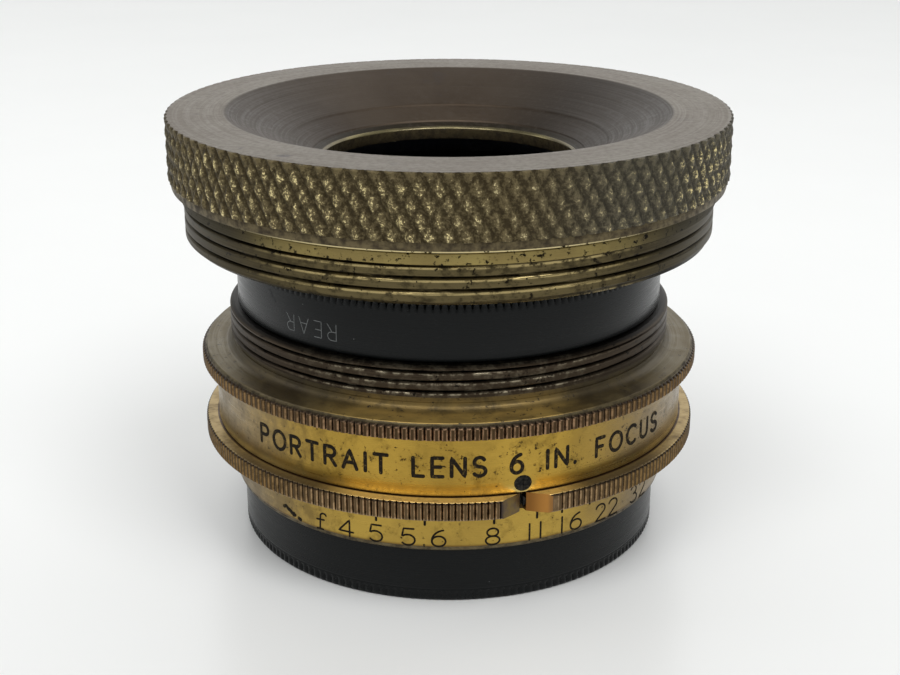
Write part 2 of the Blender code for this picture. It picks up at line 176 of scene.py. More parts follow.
def turned(name, rows, body, looks, columns=COLUMNS, reliefs=None, finish=None, window=None):
    """Turn closed (radius, height, relief) rows round the axis into a mesh that rides on a body.

    A relief caps the radius by azimuth and height. finish(radius, height) picks a face's look.
    A window is ((row, row), (row, row), (azimuth, azimuth)): a slot from the outer to the inner rows.
    """
    if np.ndim(columns) == 0:
        columns = np.arange(columns) * 360.0 / columns
    azimuth = np.asarray(columns, float)
    rows = [row if len(row) == 3 else (*row, None) for row in rows]
    radius = np.empty((len(rows), azimuth.size))
    for index, (r, z, relief) in enumerate(rows):
        radius[index] = r
        if relief is not None:
            radius[index] = np.minimum(r, reliefs[relief](azimuth, np.array([float(z)])))
    height = np.repeat(np.array([row[1] for row in rows], float)[:, None], azimuth.size, axis=1)
    angle = np.radians(azimuth)[None, :]
    points = np.stack([radius * np.sin(angle), -radius * np.cos(angle), height], axis=-1)

    row_count, column_count = radius.shape
    row = np.arange(row_count)[:, None]
    column = np.arange(column_count)[None, :]
    next_row, next_column = (row + 1) % row_count, (column + 1) % column_count

    def at(row, column):
        return row * column_count + column

    quads = np.stack([
        at(row, column), at(next_row, column), at(next_row, next_column), at(row, next_column),
    ], axis=-1)
    keep = np.ones((row_count, column_count), bool)
    extra = []
    if window is not None:
        (outer_a, outer_b), (inner_a, inner_b), (start, end) = window
        first, last = (int(round(a % 360.0 * column_count / 360.0)) for a in (start, end))
        span = [(first + i) % column_count for i in range((last - first) % column_count)]
        keep[outer_a, span] = keep[inner_b, span] = False
        for a in span:
            b = (a + 1) % column_count
            extra.append([at(outer_a, a), at(inner_a, a), at(inner_a, b), at(outer_a, b)])
            extra.append([at(outer_b, b), at(inner_b, b), at(inner_b, a), at(outer_b, a)])
        for a, flip in ((first, False), (last, True)):
            side = [at(outer_a, a), at(outer_b, a), at(inner_b, a), at(inner_a, a)]
            extra.append(side[::-1] if flip else side)
    faces = quads[keep].reshape(-1, 4).tolist() + extra
    piece = mesh_object(name, points.reshape(-1, 3) * MM, faces, body, looks)
    if finish is not None:
        for face in piece.data.polygons:
            x, y, z = face.center / MM
            face.material_index = looks.index(finish(math.hypot(x, y), z))
    return piece


def add_object(name, data):
    """Put a mesh, light or camera in the scene."""
    item = bpy.data.objects.new(name, data)
    bpy.context.scene.collection.objects.link(item)
    return item


def mesh_object(name, points, faces, body, looks):
    """A closed, smooth-shaded mesh, with its faces turned outward, riding on a CAD body."""
    mesh = bpy.data.meshes.new(name)
    mesh.from_pydata([tuple(point) for point in points], [], faces)
    for look in looks:
        mesh.materials.append(finishes[look])
    if signed_volume(mesh) < 0:
        mesh.flip_normals()
    mesh.shade_smooth()
    mesh.set_sharp_from_angle(angle=SHARP_ANGLE)
    piece = add_object(name, mesh)
    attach(piece, body)
    return piece


def signed_volume(mesh):
    """Six times the volume that the faces enclose; negative when they face inward."""
    mesh.calc_loop_triangles()
    corners_of = np.empty(len(mesh.loop_triangles) * 3, np.int32)
    mesh.loop_triangles.foreach_get("vertices", corners_of)
    points = np.empty(len(mesh.vertices) * 3)
    mesh.vertices.foreach_get("co", points)
    a, b, c = points.reshape(-1, 3)[corners_of.reshape(-1, 3)].transpose(1, 0, 2)
    return float(np.einsum("ij,ij->i", a, np.cross(b, c)).sum())


# ---------------------------------------------------------------- engraving

def bow(cx, cy, rx, ry, start, end, steps=14):
    """Points along an ellipse, in degrees anticlockwise from the right."""
    angles = [math.radians(start + (end - start) * i / steps) for i in range(steps + 1)]
    return [(cx + rx * math.cos(a), cy + ry * math.sin(a)) for a in angles]


LOOP = [(0.0, 0.0), (0.0, 1.0), (0.32, 1.0)] + bow(0.32, 0.74, 0.27, 0.26, 90, -90) + [(0.0, 0.48)]
# Each glyph is its width and its strokes, on a unit height.
GLYPHS = {
    " ": (0.45, []),
    ".": (0.08, [[(0.04, 0.0), (0.04, 0.09)]]),
    "1": (0.1, [[(0.05, 0.0), (0.05, 1.0)]]),
    "2": (0.6, [bow(0.3, 0.71, 0.28, 0.29, 165, -38) + [(0.0, 0.0), (0.6, 0.0)]]),
    "3": (0.58, [bow(0.28, 0.76, 0.25, 0.24, 155, -90), bow(0.28, 0.27, 0.3, 0.27, 85, -150)]),
    "4": (0.7, [[(0.52, 0.0), (0.52, 1.0), (0.0, 0.27), (0.7, 0.27)]]),
    "5": (0.6, [[(0.56, 1.0), (0.12, 1.0), (0.05, 0.55)] + bow(0.3, 0.32, 0.3, 0.32, 135, -145)]),
    "6": (0.6, [bow(0.58, 0.33, 0.57, 0.66, 98, 180), bow(0.3, 0.31, 0.29, 0.31, 180, 540, 24)]),
    "8": (0.6, [bow(0.3, 0.76, 0.24, 0.24, -90, 270, 22), bow(0.3, 0.27, 0.3, 0.26, 90, 450, 24)]),
    "f": (0.46, [bow(0.36, 0.8, 0.16, 0.19, 25, 180) + [(0.17, 0.0)], [(0.0, 0.56), (0.4, 0.6)],
                 [(0.02, 0.0), (0.34, 0.0)]]),
    "A": (0.76, [[(0.0, 0.0), (0.38, 1.0), (0.76, 0.0)], [(0.14, 0.34), (0.62, 0.34)]]),
    "C": (0.76, [bow(0.42, 0.5, 0.42, 0.5, 48, 312, 22)]),
    "E": (0.54, [[(0.54, 1.0), (0.0, 1.0), (0.0, 0.0), (0.54, 0.0)], [(0.0, 0.52), (0.44, 0.52)]]),
    "F": (0.52, [[(0.0, 0.0), (0.0, 1.0), (0.52, 1.0)], [(0.0, 0.52), (0.42, 0.52)]]),
    "I": (0.08, [[(0.04, 0.0), (0.04, 1.0)]]),
    "L": (0.52, [[(0.0, 1.0), (0.0, 0.0), (0.52, 0.0)]]),
    "N": (0.66, [[(0.0, 0.0), (0.0, 1.0), (0.66, 0.0), (0.66, 1.0)]]),
    "O": (0.86, [bow(0.43, 0.5, 0.43, 0.5, 90, 450, 28)]),
    "P": (0.6, [LOOP]),
    "R": (0.62, [LOOP, [(0.28, 0.48), (0.62, 0.0)]]),
    "S": (0.6, [bow(0.3, 0.75, 0.26, 0.25, 25, 270, 16), bow(0.3, 0.25, 0.3, 0.25, 90, -155, 16)]),
    "T": (0.7, [[(0.0, 1.0), (0.7, 1.0)], [(0.35, 1.0), (0.35, 0.0)]]),
    "U": (0.62, [[(0.0, 1.0), (0.0, 0.32)] + bow(0.31, 0.31, 0.31, 0.31, 180, 360) + [(0.62, 1.0)]]),
}


def layout(text, height, gap):
    """Strokes of a line of text in millimetres, centred on x = 0 with the baseline at y = 0."""
    strokes, x = [], 0.0
    for letter in text:
        width, glyph = GLYPHS[letter]
        strokes += [[(x + px * height, py * height) for px, py in stroke] for stroke in glyph]
        x += width * height + gap
    shift = (x - gap) / 2
    return [[(px - shift, py) for px, py in stroke] for stroke in strokes]


def resample(stroke, step=0.25):
    """Points along a stroke, no further apart than one step."""
    points = [np.array(stroke[0], float)]
    for start, end in zip(stroke, stroke[1:]):
        start, end = np.array(start, float), np.array(end, float)
        parts = max(1, math.ceil(np.linalg.norm(end - start) / step))
        points += [start + (end - start) * i / parts for i in range(1, parts + 1)]
    return np.array(points)


def engrave(name, strokes, radius, base, azimuth, width, body, look, proud=0.012, flipped=False):
    """Fill engraved strokes on a cylinder with thin inlaid ribbons, all in one mesh."""
    sunk = -0.05
    points, faces = [], []
    for stroke in strokes:
        line = resample(stroke)
        run = np.gradient(line, axis=0)
        run /= np.linalg.norm(run, axis=1)[:, None]
        side = np.stack([-run[:, 1], run[:, 0]], axis=1) * width / 2
        line = np.vstack([line[0] - run[0] * width * 0.35, line, line[-1] + run[-1] * width * 0.35])
        side = np.vstack([side[0] * 0.55, side, side[-1] * 0.55])
        start = len(points)
        for centre, offset in zip(line, side):
            for sign, lift in ((1, proud), (-1, proud), (-1, sunk), (1, sunk)):
                x, z = (centre + sign * offset) * (-1 if flipped else 1)
                angle = math.radians(azimuth) + x / radius
                reach = radius + lift
                spot = (reach * math.sin(angle), -reach * math.cos(angle), base + z)
                points.append(tuple(part * MM for part in spot))
        for ring in range(len(line) - 1):
            a = start + ring * 4
            faces += [[a + i, a + 4 + i, a + 4 + (i + 1) % 4, a + (i + 1) % 4] for i in range(4)]
        end = start + (len(line) - 1) * 4
        faces += [[start + i for i in range(4)], [end + i for i in (3, 2, 1, 0)]]
    return mesh_object(name, points, faces, body, [look])


# ---------------------------------------------------------------- materials

class Value:
    """What a node's output carries. Its sums, soft steps and mixes add the nodes that do them."""

    def __init__(self, look, socket):
        self.look, self.socket = look, socket

    def __add__(self, other):
        return self.look.math("ADD", self, other)

    def __sub__(self, other):
        return self.look.math("SUBTRACT", self, other)

    def __mul__(self, other):
        return self.look.math("MULTIPLY", self, other)

    def __truediv__(self, other):
        return self.look.math("DIVIDE", self, other)

    def __abs__(self):
        return self.look.math("ABSOLUTE", self)

    def top(self, other):
        """The greater of the two."""
        return self.look.math("MAXIMUM", self, other)

    def ramp(self, low, high, start=0.0, end=1.0):
        """A soft step: start where the value is low, end where it is high."""
        inputs = {"Value": self, "From Min": low, "From Max": high, "To Min": start, "To Max": end}
        return self.look.add("ShaderNodeMapRange", inputs, interpolation_type="SMOOTHSTEP")

    def within(self, one_side, other_side):
        """1 between two soft edges. Each edge is where the result is 0 and where it is 1."""
        return self.ramp(*one_side) * self.ramp(*other_side)

    def beyond(self, one_side, other_side):
        """1 outside two soft edges. Each edge is where the result is 0 and where it is 1."""
        return self.ramp(*one_side).top(self.ramp(*other_side))

    def mix(self, a, b):
        """Colour a where the value is 0, b where it is 1."""
        return self.look.add("ShaderNodeMix", {0: self, 6: a, 7: b}, 2, data_type="RGBA")


class Look:
    """A Principled material put together step by step. Lengths are in millimetres."""

    def __init__(self, name, metallic=0.0):
        self.material = bpy.data.materials.new(name)
        self.material.use_nodes = True
        self.tree = self.material.node_tree
        self.shader = self.tree.nodes["Principled BSDF"]
        self.set("Metallic", metallic)

    def plug(self, socket, value):
        """Link a value into an input, or write a constant there."""
        if isinstance(value, Value):
            self.tree.links.new(value.socket, socket)
        else:
            socket.default_value = (*value, 1.0) if socket.type == "RGBA" else value

    def set(self, name, value):
        self.plug(self.shader.inputs[name], value)

    def add(self, kind, inputs, output=0, **settings):
        """Add a node, and return what it puts out: one Value, or several where output is a list."""
        node = self.tree.nodes.new(kind)
        for key, value in settings.items():
            setattr(node, key, value)
        for key, value in inputs.items():
            self.plug(node.inputs[key], value)
        if isinstance(output, list):
            return [Value(self, node.outputs[key]) for key in output]
        return Value(self, node.outputs[output])

    def math(self, operation, a, b=0.0):
        return self.add("ShaderNodeMath", {0: a, 1: b}, operation=operation)

    def place(self):
        """Position on the piece at rest."""
        rest = self.add("ShaderNodeTexCoord", {}, "Object")
        return self.add("ShaderNodeVectorMath", {0: rest, "Scale": 1 / MM}, operation="SCALE")

    def round_place(self):
        """Radius, azimuth in degrees from -Y towards +X, and height."""
        x, y, z = self.add("ShaderNodeSeparateXYZ", {0: self.place()}, [0, 1, 2])
        angle = self.math("ARCTAN2", x, y * -1.0)
        return self.math("SQRT", x * x + y * y), self.math("DEGREES", angle), z

    def noise(self, scale, detail=3.0, roughness=0.55, distortion=0.0, at=None):
        """Cloudy noise, over the piece unless it is given other coordinates."""
        return self.add("ShaderNodeTexNoise", {
            "Vector": at or self.place(), "Scale": scale, "Detail": detail, "Roughness": roughness,
            "Distortion": distortion,
        })

    def turning(self, across, along, detail=2.0, roughness=0.55):
        """Noise drawn out into fine lines round the axis."""
        radius, azimuth, height = self.round_place()
        drawn = {0: radius * across, 1: azimuth * along, 2: height * across}
        return self.noise(1.0, detail, roughness, at=self.add("ShaderNodeCombineXYZ", drawn))

    def finish(self, colour, roughness, relief=None, depth=0.0):
        """Set the colour, the roughness and a bump of some depth, and hand over the material."""
        self.set("Base Color", colour)
        self.set("Roughness", roughness)
        if relief:
            bump = {"Height": relief, "Distance": depth * MM}
            self.set("Normal", self.add("ShaderNodeBump", bump))
        return self.material


def satin_patina():
    """Brown-grey satin patina of the adapter's face, darker in its dish, with a faint violet cast,
    painted shade at the dish's sides and a painted shadow round the sight hole.
    """
    look = Look("satin_patina", metallic=0.75)
    radius, azimuth, _ = look.round_place()
    cloud = look.noise(0.11, 5.0, 0.6, 0.4)
    lines = look.turning(5.0, 0.02)
    mottle = look.noise(1.6, 4.0, 0.65)
    smudge = azimuth.within((-62.0, -48.0), (-22.0, -34.0))
    stain = look.noise(0.35, 4.0, 0.62).ramp(0.6, 0.72)
    stain = stain * (smudge * 0.5 + 0.3)
    face = cloud.ramp(0.35, 0.68).mix((0.137, 0.113, 0.086), (0.172, 0.15, 0.119))
    dish = lines.mix((0.046, 0.03, 0.018), (0.068, 0.047, 0.03))
    dish = cloud.ramp(0.3, 0.7).mix(dish, (0.072, 0.052, 0.035))
    # The dish is darkened towards its left and right sides with painted shade.
    right = azimuth.within((172.0, 130.0), (40.0, 90.0))
    left = azimuth.within((-150.0, -115.0), (-40.0, -90.0))
    shade = (right * 0.8).top(left * 0.55)
    dish = shade.mix(dish, (0.016, 0.01, 0.005))
    # The near-black ring round the sight hole's edge is a painted shadow.
    dish = radius.ramp(15.15, 14.9).mix(dish, (0.02, 0.014, 0.006))
    colour = radius.ramp(24.3, 24.8).mix(dish, face)
    colour = mottle.ramp(0.45, 0.75, 0.0, 0.35).mix(colour, (0.085, 0.068, 0.055))
    return look.finish(
        stain.mix(colour, (0.055, 0.044, 0.042)),
        (lines + mottle).ramp(0.7, 1.3, 0.42, 0.56),
        lines + mottle * 0.8, 0.006,
    )


def brown_edge():
    """Smooth olive-brown patina of plain bands, darker where dirt lies."""
    look = Look("brown_edge", metallic=0.85)
    grime = look.noise(0.9, 5.0, 0.65)
    lines = look.turning(9.0, 0.03)
    colour = grime.ramp(0.36, 0.66).mix((0.15, 0.118, 0.062), (0.055, 0.042, 0.026))
    return look.finish(colour, grime.ramp(0.3, 0.7, 0.36, 0.6), lines, 0.012)


def knurl_patina():
    """Diamond knurl: dirt in the valleys, wear and painted glints on the peaks, brighter in two handled
    patches, painted shade far round both sides.
    """
    look = Look("knurl_patina", metallic=0.9)
    radius, azimuth, height = look.round_place()
    grain = look.noise(2.6, 5.0, 0.72)
    pits = look.noise(6.5, 3.0, 0.6)
    cloud = look.noise(0.16, 3.0, 0.5)
    right_patch = azimuth.within((44.0, 54.0), (72.0, 64.0))
    left_patch = azimuth.within((-80.0, -40.0), (14.0, -6.0))
    handled = right_patch.top(left_patch * 0.6)
    handled = handled + cloud.ramp(0.45, 0.75, 0.0, 0.3)
    peak = radius.ramp(ADAPTER_R - 0.4, ADAPTER_R - 0.06)
    rough_peak = peak + grain.ramp(0.3, 0.72, -0.8, 0.7)
    # Wear shows brass on the peaks; the small bright spots on them are painted glints.
    sparkle = pits.ramp(0.35, 0.65, -0.45, 0.45)
    wear_and_glints = rough_peak + sparkle + handled * 0.35
    upper = height.ramp(ADAPTER_TOP - 0.9, ADAPTER_TOP - 0.2)
    wear_and_glints = (wear_and_glints - upper).ramp(1.1, 1.75)
    right = azimuth.ramp(8.0, 36.0)
    valley = right.mix((0.055, 0.041, 0.02), (0.062, 0.055, 0.04))
    brown = right.mix((0.168, 0.132, 0.067), (0.145, 0.127, 0.085))
    brass = handled.mix((0.66, 0.56, 0.31), (0.98, 0.82, 0.4))
    colour = rough_peak.ramp(-0.3, 0.9).mix(valley, brown)
    colour = wear_and_glints.mix(colour, brass)
    # The knurl is darkened about 62 to 130 degrees to either side as painted shade.
    painted_edge_shade = abs(azimuth).within((62.0, 76.0), (130.0, 100.0))
    return look.finish(
        (painted_edge_shade * 0.6).mix(colour, (0.045, 0.038, 0.026)),
        wear_and_glints.ramp(0.0, 1.0, 0.44, 0.22),
        grain + pits * 0.8, 0.12,
    )


def speckled_gold():
    """The adapter's polished band, with black specks in it, brown towards both sides and a painted
    highlight along its upper edge.
    """
    look = Look("speckled_gold", metallic=1.0)
    radius, azimuth, _ = look.round_place()
    outside = radius.ramp(HOLE_LIP_R + 0.1, HOLE_LIP_R + 0.4)
    specks = look.noise(1.35, 5.0, 0.76).ramp(0.575, 0.605) * outside
    # The pale ring at the band's outermost radius, under the knurl, is a painted highlight.
    lip = radius.ramp(ADAPTER_R - 1.1, ADAPTER_R - 0.85)
    lines = look.turning(8.0, 0.02)
    cloud = look.noise(0.2, 3.0).ramp(0.35, 0.65)
    brown = azimuth.beyond((-22.0, -50.0), (19.0, 54.0)) * outside
    colour = cloud.mix((0.3, 0.235, 0.085), (0.225, 0.17, 0.064))
    hole_lip = cloud.mix((0.27, 0.23, 0.12), (0.13, 0.11, 0.065))
    colour = outside.mix(hole_lip, colour)
    colour = lip.mix(colour, (0.56, 0.47, 0.25))
    colour = (brown * 0.95).mix(colour, (0.052, 0.044, 0.028))
    colour = specks.mix(colour, (0.015, 0.012, 0.008))
    matt = lines + specks + brown * 0.7
    return look.finish(colour, matt.ramp(0.4, 1.3, 0.26, 0.66), lines - specks, 0.012)


def threaded(name, crest_r, depth, pitch, start, crest, groove, glint, shine_low):
    """Oxidised thread: dark in the grooves, with a thin beaded glint along each crest's upper edge."""
    look = Look(name, metallic=0.95)
    radius, azimuth, height = look.round_place()
    rise = radius.ramp(crest_r - depth * 0.75, crest_r - depth * 0.1)
    rub = look.turning(1.0, 0.35, 4.0, 0.7)
    fine = look.turning(9.0, 0.04)
    dirt = look.noise(1.1, 4.0, 0.7)
    centre = azimuth.within((-48.0, -20.0), (48.0, 20.0))
    turns = height / pitch - azimuth / 360.0
    phase = look.math("FRACT", turns + (start + 10.0))
    edge = phase.within((0.12, 0.24), (0.38, 0.3))
    shine = rub.ramp(shine_low, shine_low + 0.2) * centre
    shine = shine * (edge + 0.2)
    crest = fine.ramp(0.3, 0.7).mix(crest, tuple(0.6 * c for c in crest))
    colour = rise.mix(groove, crest)
    colour = shine.mix(colour, glint)
    return look.finish(
        dirt.ramp(0.6, 0.66).mix(colour, groove),
        shine.ramp(0.0, 1.0, 0.46, 0.25),
        fine, 0.012,
    )


def lacquered(name, bright, dull, low, high, ends, dirt_height=0.0, foot=None):
    """Lacquered brass of the barrel: flecked, tarnished at both sides and darker along its edges.

    ends are the widths of the dark edges at the low and high sides. foot is the colour the table throws
    back onto the lowest millimetre.
    """
    look = Look(name, metallic=1.0)
    _, azimuth, height = look.round_place()
    cloud = look.noise(0.13, 4.0, 0.6, 0.3)
    lines = look.turning(7.0, 0.03, 3.0, 0.6)
    fleck = look.noise(2.1, 5.0, 0.78)
    blotch = look.noise(0.5, 5.0, 0.7)
    sides = azimuth.beyond((-24.0, -58.0), (23.0, 54.0))
    handled = abs(height - dirt_height).ramp(2.4, 1.2, 0.0, 0.045)
    spots = fleck + blotch.ramp(0.4, 0.7, -0.03, 0.05)
    spots = (spots + handled).ramp(0.635, 0.665)
    left = azimuth.ramp(-14.0, -34.0) * 0.12
    stain = (blotch + left).ramp(0.5, 0.74, 0.0, 0.7)
    rim = height.ramp(low + ends[0], low) + height.ramp(high - ends[1], high)
    colour = cloud.ramp(0.35, 0.7).mix(bright, dull)
    colour = stain.mix(colour, tuple(0.55 * c for c in dull))
    aged = sides * blotch.ramp(0.3, 0.6, 0.72, 0.95)
    colour = aged.mix(colour, (0.215, 0.158, 0.08))
    if foot:
        lit = height.ramp(low + 1.1, low + 0.2) * sides.ramp(0.0, 0.5, 0.5, 0.85)
        colour = lit.mix(colour, foot)
    colour = (rim * 0.75).mix(colour, (0.11, 0.06, 0.022))
    return look.finish(
        spots.mix(colour, (0.055, 0.036, 0.014)),
        (lines + stain * 0.5).ramp(0.3, 1.1, 0.26, 0.46),
        lines - spots, 0.008,
    )


def flange_brass():
    """The flange's face and fillet: oxidised brass with a painted highlight in front, brown at the
    sides.
    """
    look = Look("flange_brass", metallic=0.6)
    radius, azimuth, _ = look.round_place()
    cloud = look.noise(0.28, 5.0, 0.65, 0.5)
    lines = look.turning(7.0, 0.03, 3.0, 0.6)
    fleck = look.noise(1.7, 5.0, 0.75).ramp(0.6, 0.64)
    # The bright patch in front, between about -34 and 36 degrees, is a painted highlight.
    front = azimuth.within((-34.0, -16.0), (36.0, 20.0))
    painted_front_highlight = front * cloud.ramp(0.32, 0.6, 0.45, 1.0)
    back = azimuth.beyond((-46.0, -62.0), (46.0, 62.0))
    brown = back.mix((0.07, 0.051, 0.024), (0.125, 0.098, 0.044))
    colour = cloud.ramp(0.35, 0.65).mix(brown, (0.13, 0.097, 0.042))
    colour = painted_front_highlight.mix(colour, (0.38, 0.252, 0.07))
    fillet = radius.ramp(FILLET_R, FILLET_R - 0.7) * cloud.ramp(0.3, 0.6, 0.8, 0.5)
    colour = fillet.mix(colour, (0.045, 0.032, 0.014))
    return look.finish(
        fleck.mix(colour, (0.035, 0.025, 0.014)),
        (lines + cloud).ramp(0.7, 1.3, 0.34, 0.52),
        lines - fleck, 0.008,
    )


def ring_top_brass():
    """The control ring's upper face: a pale painted highlight in front, brown round the sides."""
    look = Look("ring_top_brass", metallic=0.75)
    radius, azimuth, _ = look.round_place()
    grime = look.noise(0.7, 5.0, 0.65)
    # The pale band in front is a painted highlight.
    front = azimuth.within((-31.0, -19.0), (33.0, 22.0))
    back = azimuth.beyond((-48.0, -62.0), (48.0, 62.0))
    brown = back.mix((0.17, 0.12, 0.055), (0.38, 0.27, 0.105))
    colour = front.mix(brown, (0.9, 0.62, 0.21))
    colour = grime.ramp(0.45, 0.75, 0.0, 0.7).mix(colour, (0.12, 0.08, 0.04))
    return look.finish(
        radius.ramp(27.05, 26.95).mix(colour, (0.05, 0.022, 0.009)),
        grime.ramp(0.3, 0.7, 0.3, 0.48),
        look.turning(7.0, 0.03), 0.008,
    )


def copper_knurl(name, crest_r, top, middle_crest, middle_flank_highlight, side_crest, side_flank_highlight):
    """Fine straight knurl: teeth brown on top, with painted highlights on their flanks, dark valleys
    and dark ends.
    """
    look = Look(name, metallic=0.95)
    radius, azimuth, height = look.round_place()
    rise = radius.ramp(crest_r - KNURL_DEPTH * 0.85, crest_r - KNURL_DEPTH * 0.4)
    flank_highlight = rise * radius.ramp(crest_r - KNURL_DEPTH * 0.04, crest_r - KNURL_DEPTH * 0.3)
    grain = look.noise(1.5, 4.0, 0.65)
    sides = azimuth.beyond((-20.0, -46.0), (22.0, 46.0))
    crest = sides.mix(middle_crest, side_crest)
    bright = sides.mix(middle_flank_highlight, side_flank_highlight)
    colour = rise.mix((0.028, 0.016, 0.008), crest)
    # The bright colour on each tooth's flanks is a painted highlight.
    colour = (flank_highlight * grain.ramp(0.36, 0.6, 0.25, 1.0)).mix(colour, bright)
    end = (height + grain * 0.3).ramp(top - 0.22, top + 0.02)
    colour = end.mix(colour, (0.035, 0.023, 0.014))
    return look.finish(colour, flank_highlight.ramp(0.0, 1.0, 0.46, 0.3), grain, 0.012)


def black_enamel():
    """Satin black enamel with faint turning lines, dust and hairline scratches."""
    look = Look("black_enamel")
    lines = look.turning(6.0, 0.02)
    hair = look.noise(0.5, 2.0, 0.5, 2.5)
    scratch = abs(hair - 0.5).ramp(0.0012, 0.0)
    sparse = look.noise(0.3, 2.0).ramp(0.58, 0.66)
    cells = {"Vector": look.place(), "Scale": 0.42}
    distance, tint = look.add("ShaderNodeTexVoronoi", cells, ["Distance", "Color"])
    some = look.add("ShaderNodeSeparateColor", {0: tint})
    dust = distance.ramp(0.035, 0.02) * some.ramp(0.55, 0.6)
    mark = (scratch * sparse * 0.3).top(dust)
    look.set("Specular IOR Level", 0.19)
    look.set("Sheen Weight", 0.12)
    look.set("Sheen Roughness", 0.2)
    colour = mark.mix((0.003, 0.0038, 0.004), (0.3, 0.31, 0.31))
    return look.finish(colour, lines.ramp(0.3, 0.7, 0.25, 0.32), lines, 0.003)


def matt_black():
    """Matt black lining of the inside."""
    look = Look("matt_black", metallic=0.3)
    grain = look.noise(2.0, 3.0)
    return look.finish(
        grain.mix((0.01, 0.011, 0.013), (0.024, 0.024, 0.026)),
        grain.ramp(0.3, 0.7, 0.55, 0.75),
        look.turning(5.0, 0.05), 0.01,
    )


def blued_steel():
    """Thin blued leaves of the iris."""
    look = Look("blued_steel", metallic=1.0)
    sheen = look.noise(0.4, 4.0)
    return look.finish(
        sheen.mix((0.028, 0.032, 0.045), (0.06, 0.055, 0.06)),
        sheen.ramp(0.3, 0.7, 0.32, 0.48),
    )


def screw_steel():
    """Blackened, pitted screw heads."""
    look = Look("screw_steel", metallic=0.4)
    grain = look.noise(3.0, 4.0)
    look.set("Specular IOR Level", 0.2)
    colour = grain.ramp(0.4, 0.7).mix((0.004, 0.004, 0.004), (0.035, 0.031, 0.024))
    return look.finish(colour, grain.ramp(0.3, 0.7, 0.35, 0.6), grain, 0.08)


def notch_facet():
    """Bare copper-coloured facets of the notch: the left one mottled brown as painted shade, the right
    one brightening outward as a painted highlight, then a grey strip.
    """
    look = Look("notch_facet", metallic=1.0)
    radius, azimuth, _ = look.round_place()
    sideways = azimuth - INDEX_AZIMUTH
    rub = look.noise(0.9, 4.0, 0.6)
    # The right facet brightens outward as a painted highlight; the left facet is painted darker brown
    # as shade.
    copper = sideways.ramp(1.0, 4.6).mix((0.24, 0.105, 0.026), (0.44, 0.205, 0.05))
    copper = sideways.ramp(4.6, 5.5).mix(copper, (0.3, 0.15, 0.05))
    brown = rub.ramp(0.35, 0.65).mix((0.125, 0.088, 0.052), (0.185, 0.125, 0.042))
    brown = sideways.ramp(-4.6, -5.6).mix(brown, (0.05, 0.038, 0.034))
    colour = sideways.ramp(-0.2, 0.2).mix(brown, copper)
    colour = radius.ramp(26.5, 26.8).mix((0.05, 0.03, 0.012), colour)
    colour = sideways.ramp(5.6, 5.9).mix(colour, (0.075, 0.066, 0.056))
    return look.finish(colour, 0.34, look.turning(9.0, 0.5), 0.006)


def ink():
    """Old black filling in the engraving, a little broken."""
    look = Look("ink")
    chips = look.noise(2.6, 4.0, 0.7).ramp(0.54, 0.66)
    look.set("Specular IOR Level", 0.12)
    return look.finish(chips.mix((0.014, 0.01, 0.006), (0.1, 0.068, 0.022)), 0.7)


def optical_glass():
    """Polished glass with a faint violet bloom."""
    look = Look("optical_glass")
    look.set("Transmission Weight", 1.0)
    look.set("IOR", 1.52)
    look.set("Thin Film Thickness", 130.0)
    look.set("Thin Film IOR", 1.38)
    return look.finish((0.93, 0.94, 0.99), 0.0)


finishes = {
    "satin": satin_patina(),
    "brown": brown_edge(),
    "knurl": knurl_patina(),
    "gold": speckled_gold(),
    "olive_thread": threaded(
        "olive_thread", ADAPTER_THREAD_R, 0.5, ADAPTER_PITCH, ADAPTER_START, (0.072, 0.056, 0.027),
        (0.012, 0.009, 0.005), (0.42, 0.33, 0.15), 0.36),
    "neck_thread": threaded(
        "neck_thread", NECK_R, 0.42, THREAD_PITCH, NECK_START, (0.066, 0.048, 0.031),
        (0.012, 0.009, 0.006), (0.31, 0.265, 0.185), 0.44),
    "flange": flange_brass(),
    "wall": lacquered(
        "wall_brass", (0.47, 0.302, 0.055), (0.35, 0.224, 0.043), BARREL_STEP, FLANGE_BOTTOM,
        (0.12, 0.25), dirt_height=17.0, foot=(0.74, 0.6, 0.24)),
    "scale": lacquered(
        "scale_brass", (0.5, 0.335, 0.07), (0.38, 0.25, 0.056), SCALE_BOTTOM, RING_BOTTOM,
        (0.4, 0.2)),
    "ring_top": ring_top_brass(),
    "flange_knurl": copper_knurl(
        "flange_knurl", BARREL_R, FLANGE_FACE - 0.3, (0.07, 0.042, 0.02), (0.38, 0.235, 0.135),
        (0.082, 0.05, 0.022), (0.27, 0.17, 0.078)),
    "ring_knurl": copper_knurl(
        "ring_knurl", RING_R, RING_TOP, (0.12, 0.077, 0.037), (0.5, 0.34, 0.19), (0.088, 0.055, 0.022),
        (0.27, 0.17, 0.07)),
    "facet": notch_facet(),
    "enamel": black_enamel(),
    "matt_black": matt_black(),
    "blued": blued_steel(),
    "screw": screw_steel(),
    "ink": ink(),
    "scratch": Look("scratch").finish((0.17, 0.18, 0.18), 0.45),
    "glass": optical_glass(),
}


# ---------------------------------------------------------------- the pieces

